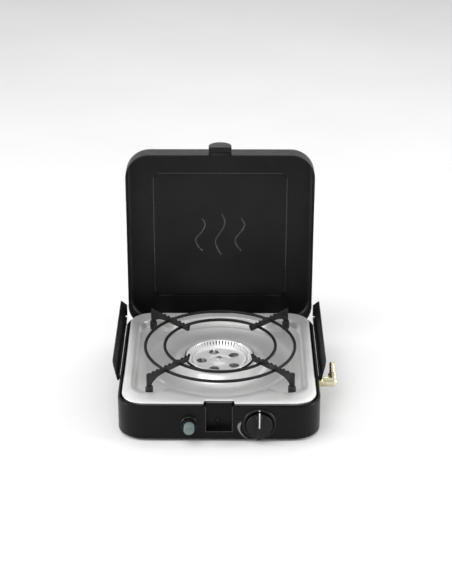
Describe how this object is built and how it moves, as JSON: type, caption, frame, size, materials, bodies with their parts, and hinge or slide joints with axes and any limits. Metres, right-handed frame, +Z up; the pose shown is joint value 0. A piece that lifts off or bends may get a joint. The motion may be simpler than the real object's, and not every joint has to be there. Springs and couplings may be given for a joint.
{
  "type": "camping stove",
  "caption": "Portable single-burner camping gas stove in a shallow black steel case, with a hinged lid, folding side windshields and a lift-off wire pan support.",
  "frame": {"origin": "centre of the bounding box on the surface the stove stands on, with the lid open", "axes": "+Z up, -Y towards the control panel at the front, +X to the right, where the gas inlet is"},
  "size_m": [0.3648, 0.3926, 0.3651],
  "materials": {
    "black_coat": "black powder coat, satin",
    "stainless": "pressed stainless steel, bright",
    "zinc_steel": "zinc plated",
    "cast_alloy": "die cast",
    "ceramic_tip": "glazed insulator",
    "brass": "machined, bright",
    "black_plastic": "moulded, satin",
    "white_mark": "printed white",
    "grey_button": "grey green plastic",
    "black_wire": "black enamel, semi matt",
    "black_rubber": "silicone rubber"
  },
  "bodies": {
    "case": {"case_shell": "black_coat", "bottom_pan": "zinc_steel", "rubber_foot_front_left": "black_rubber", "rubber_foot_front_right": "black_rubber", "rubber_foot_back_left": "black_rubber", "rubber_foot_back_right": "black_rubber", "top_plate": "stainless", "burner_crown": "stainless", "burner_body": "cast_alloy", "burner_dish": "stainless", "dish_screw": "zinc_steel", "thermocouple": "stainless", "spark_electrode": "ceramic_tip", "gas_valve": "brass", "gas_jet": "brass", "mixing_tube": "zinc_steel", "gas_pipe": "brass", "inlet_stub": "brass", "inlet_nut": "brass", "inlet_elbow": "brass", "hose_barb": "brass", "knob_bezel": "black_plastic", "piezo_igniter": "black_plastic", "piezo_bezel": "black_plastic", "recess_cup": "black_coat", "catch_stud": "black_plastic", "hinge_bracket_left": "zinc_steel", "hinge_bracket_right": "zinc_steel", "hinge_pin_left": "zinc_steel", "hinge_pin_right": "zinc_steel", "windshield_wire_left": "zinc_steel", "windshield_wire_right": "zinc_steel", "shield_lug_left_front": "black_coat", "shield_lug_left_back": "black_coat", "shield_lug_right_front": "black_coat", "shield_lug_right_back": "black_coat"},
    "lid": {"lid_shell": "black_coat", "hinge_leaf_left": "zinc_steel", "hinge_leaf_right": "zinc_steel", "catch_bracket": "zinc_steel", "catch_pin": "zinc_steel"},
    "catch": {"lid_catch": "black_plastic"},
    "left_windshield": {"windshield_left": "black_coat"},
    "right_windshield": {"windshield_right": "black_coat"},
    "pan_support": {"ring_outer": "black_wire", "ring_inner": "black_wire", "blade_front_left": "black_wire", "blade_front_right": "black_wire", "blade_back_left": "black_wire", "blade_back_right": "black_wire", "foot_cap_front_left": "black_rubber", "foot_cap_front_right": "black_rubber", "foot_cap_back_left": "black_rubber", "foot_cap_back_right": "black_rubber"},
    "gas_stem": {"valve_stem": "brass"},
    "knob": {"gas_knob": "black_plastic", "knob_pointer": "white_mark"},
    "igniter_button": {"piezo_button": "grey_button"}
  },
  "joints": [
    {"name": "lid_hinge", "type": "hinge", "parent": "case", "child": "lid", "pos_m": [-0.01124, 0.13292, 0.04555], "axis": [-1, 0, 0], "range_deg": [-91.6, 0]},
    {"name": "catch_flip", "type": "hinge", "parent": "lid", "child": "catch", "pos_m": [-0.01124, 0.15786, 0.35277], "axis": [1, 0, 0], "range_deg": [0, 178]},
    {"name": "left_shield_fold", "type": "hinge", "parent": "case", "child": "left_windshield", "pos_m": [-0.17364, 0.02572, 0.0607], "axis": [0, 1, 0], "range_deg": [0, 66]},
    {"name": "right_shield_fold", "type": "hinge", "parent": "case", "child": "right_windshield", "pos_m": [0.15116, 0.02572, 0.0607], "axis": [0, -1, 0], "range_deg": [0, 66]},
    {"name": "pan_support_lift", "type": "slide", "parent": "case", "child": "pan_support", "axis": [0, 0, 1], "range_m": [0, 0.06]},
    {"name": "knob_push", "type": "slide", "parent": "case", "child": "gas_stem", "axis": [0, 1, 0], "range_m": [0, 0.003], "stiffness_N_per_m": 1500, "springref_m": -0.002},
    {"name": "knob_turn", "type": "hinge", "parent": "gas_stem", "child": "knob", "pos_m": [0.05196, -0.18428, 0.0319], "axis": [0, -1, 0], "range_deg": [0, 180]},
    {"name": "igniter_press", "type": "slide", "parent": "case", "child": "igniter_button", "axis": [0, 1, 0], "range_m": [0, 0.006], "stiffness_N_per_m": 800, "springref_m": -0.002}
  ]
}
